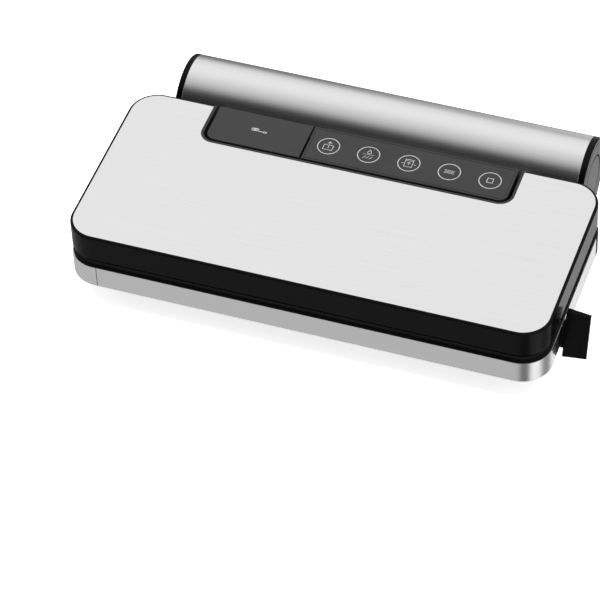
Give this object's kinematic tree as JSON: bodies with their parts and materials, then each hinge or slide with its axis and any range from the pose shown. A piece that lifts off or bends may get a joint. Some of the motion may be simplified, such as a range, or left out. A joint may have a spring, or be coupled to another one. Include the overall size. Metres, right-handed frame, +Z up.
{
  "type": "vacuum sealer",
  "caption": "Flat countertop vacuum sealer with a hinged steel-topped lid, a row of round keys, a side lock knob and a rear box for film rolls.",
  "frame": {"origin": "middle of the footprint, on the surface it stands on", "axes": "+X to the right seen from the front, +Y to the back, +Z up"},
  "size_m": [0.3978, 0.239, 0.071],
  "materials": {
    "black_plastic": "fine satin moulded plastic",
    "panel_plastic": "dark grey satin-gloss plastic",
    "brushed_steel": "fine brushed along the length",
    "zinc_steel": "plain bright steel",
    "rubber": "matt rubber",
    "foam": "soft closed-cell foam",
    "silicone": "matt silicone rubber",
    "heater_tape": "woven non-stick tape over the heating wire",
    "grey_plastic": "satin moulded plastic",
    "circuit_board": "green solder mask",
    "transformer_iron": "varnished laminations",
    "white_light_guide": "white translucent ring"
  },
  "bodies": {
    "base": {"base_housing": "black_plastic", "base_band": "brushed_steel", "base_band_left": "brushed_steel", "bottom_pan": "black_plastic", "feet": "rubber", "base_screws": "zinc_steel", "lock_plate": "black_plastic", "drip_tray": "grey_plastic", "lower_gasket": "foam", "sealing_bar": "black_plastic", "heating_strip": "heater_tape", "suction_port": "grey_plastic", "panel_housing": "black_plastic", "control_panel": "panel_plastic", "control_board": "circuit_board", "key_switches": "zinc_steel", "vacuum_pump": "grey_plastic", "pump_motor": "zinc_steel", "pump_hose": "rubber", "power_board": "circuit_board", "transformer": "transformer_iron", "hinge_posts": "black_plastic", "hinge_pins": "zinc_steel", "shaft_bearings": "black_plastic", "tube_port": "grey_plastic", "flap_pins": "zinc_steel", "cord_bushing": "rubber", "roll_cradle": "black_plastic", "roll_cap_left": "black_plastic", "roll_cap_right": "black_plastic", "cap_discs": "panel_plastic", "cutter_rail": "black_plastic"},
    "lid": {"lid_shell": "black_plastic", "notch_trim": "black_plastic", "lid_plate": "brushed_steel", "lid_liner": "black_plastic", "lid_screws": "zinc_steel", "upper_gasket": "foam", "press_strip": "silicone", "strikers": "zinc_steel"},
    "lock": {"lock_knob": "black_plastic", "lock_shaft": "zinc_steel", "lock_hooks": "zinc_steel"},
    "flap": {"tube_flap": "panel_plastic"},
    "key_1_body": {"key_1": "panel_plastic", "key_ring_1": "white_light_guide"},
    "key_2_body": {"key_2": "panel_plastic", "key_ring_2": "white_light_guide"},
    "key_3_body": {"key_3": "panel_plastic", "key_ring_3": "white_light_guide"},
    "key_4_body": {"key_4": "panel_plastic", "key_ring_4": "white_light_guide"},
    "key_5_body": {"key_5": "panel_plastic", "key_ring_5": "white_light_guide"},
    "cover": {"roll_cover": "brushed_steel", "cover_liner": "black_plastic"},
    "cutter": {"cutter_slider": "grey_plastic", "cutter_blade": "zinc_steel"}
  },
  "joints": [
    {"name": "lid_hinge", "type": "hinge", "parent": "base", "child": "lid", "pos_m": [-0.00995, 0.0412, 0.062], "axis": [-1, 0, 0], "range_deg": [0, 65]},
    {"name": "lock_turn", "type": "hinge", "parent": "base", "child": "lock", "pos_m": [0.17905, -0.0708, 0.03], "axis": [1, 0, 0], "range_deg": [-70, 0]},
    {"name": "flap_hinge", "type": "hinge", "parent": "base", "child": "flap", "pos_m": [-0.09295, 0.0427, 0.0662], "axis": [-1, 0, 0], "range_deg": [0, 85]},
    {"name": "key_1_press", "type": "slide", "parent": "base", "child": "key_1_body", "axis": [0, 0, -1], "range_m": [0, 0.0006], "stiffness_N_per_m": 500, "springref_m": -0.0004},
    {"name": "key_2_press", "type": "slide", "parent": "base", "child": "key_2_body", "axis": [0, 0, -1], "range_m": [0, 0.0006], "stiffness_N_per_m": 500, "springref_m": -0.0004},
    {"name": "key_3_press", "type": "slide", "parent": "base", "child": "key_3_body", "axis": [0, 0, -1], "range_m": [0, 0.0006], "stiffness_N_per_m": 500, "springref_m": -0.0004},
    {"name": "key_4_press", "type": "slide", "parent": "base", "child": "key_4_body", "axis": [0, 0, -1], "range_m": [0, 0.0006], "stiffness_N_per_m": 500, "springref_m": -0.0004},
    {"name": "key_5_press", "type": "slide", "parent": "base", "child": "key_5_body", "axis": [0, 0, -1], "range_m": [0, 0.0006], "stiffness_N_per_m": 500, "springref_m": -0.0004},
    {"name": "cover_turn", "type": "hinge", "parent": "base", "child": "cover", "pos_m": [-0.00825, 0.0854, 0.0358], "axis": [-1, 0, 0], "range_deg": [0, 80]},
    {"name": "cutter_slide", "type": "slide", "parent": "base", "child": "cutter", "axis": [1, 0, 0], "range_m": [0, 0.28]}
  ]
}
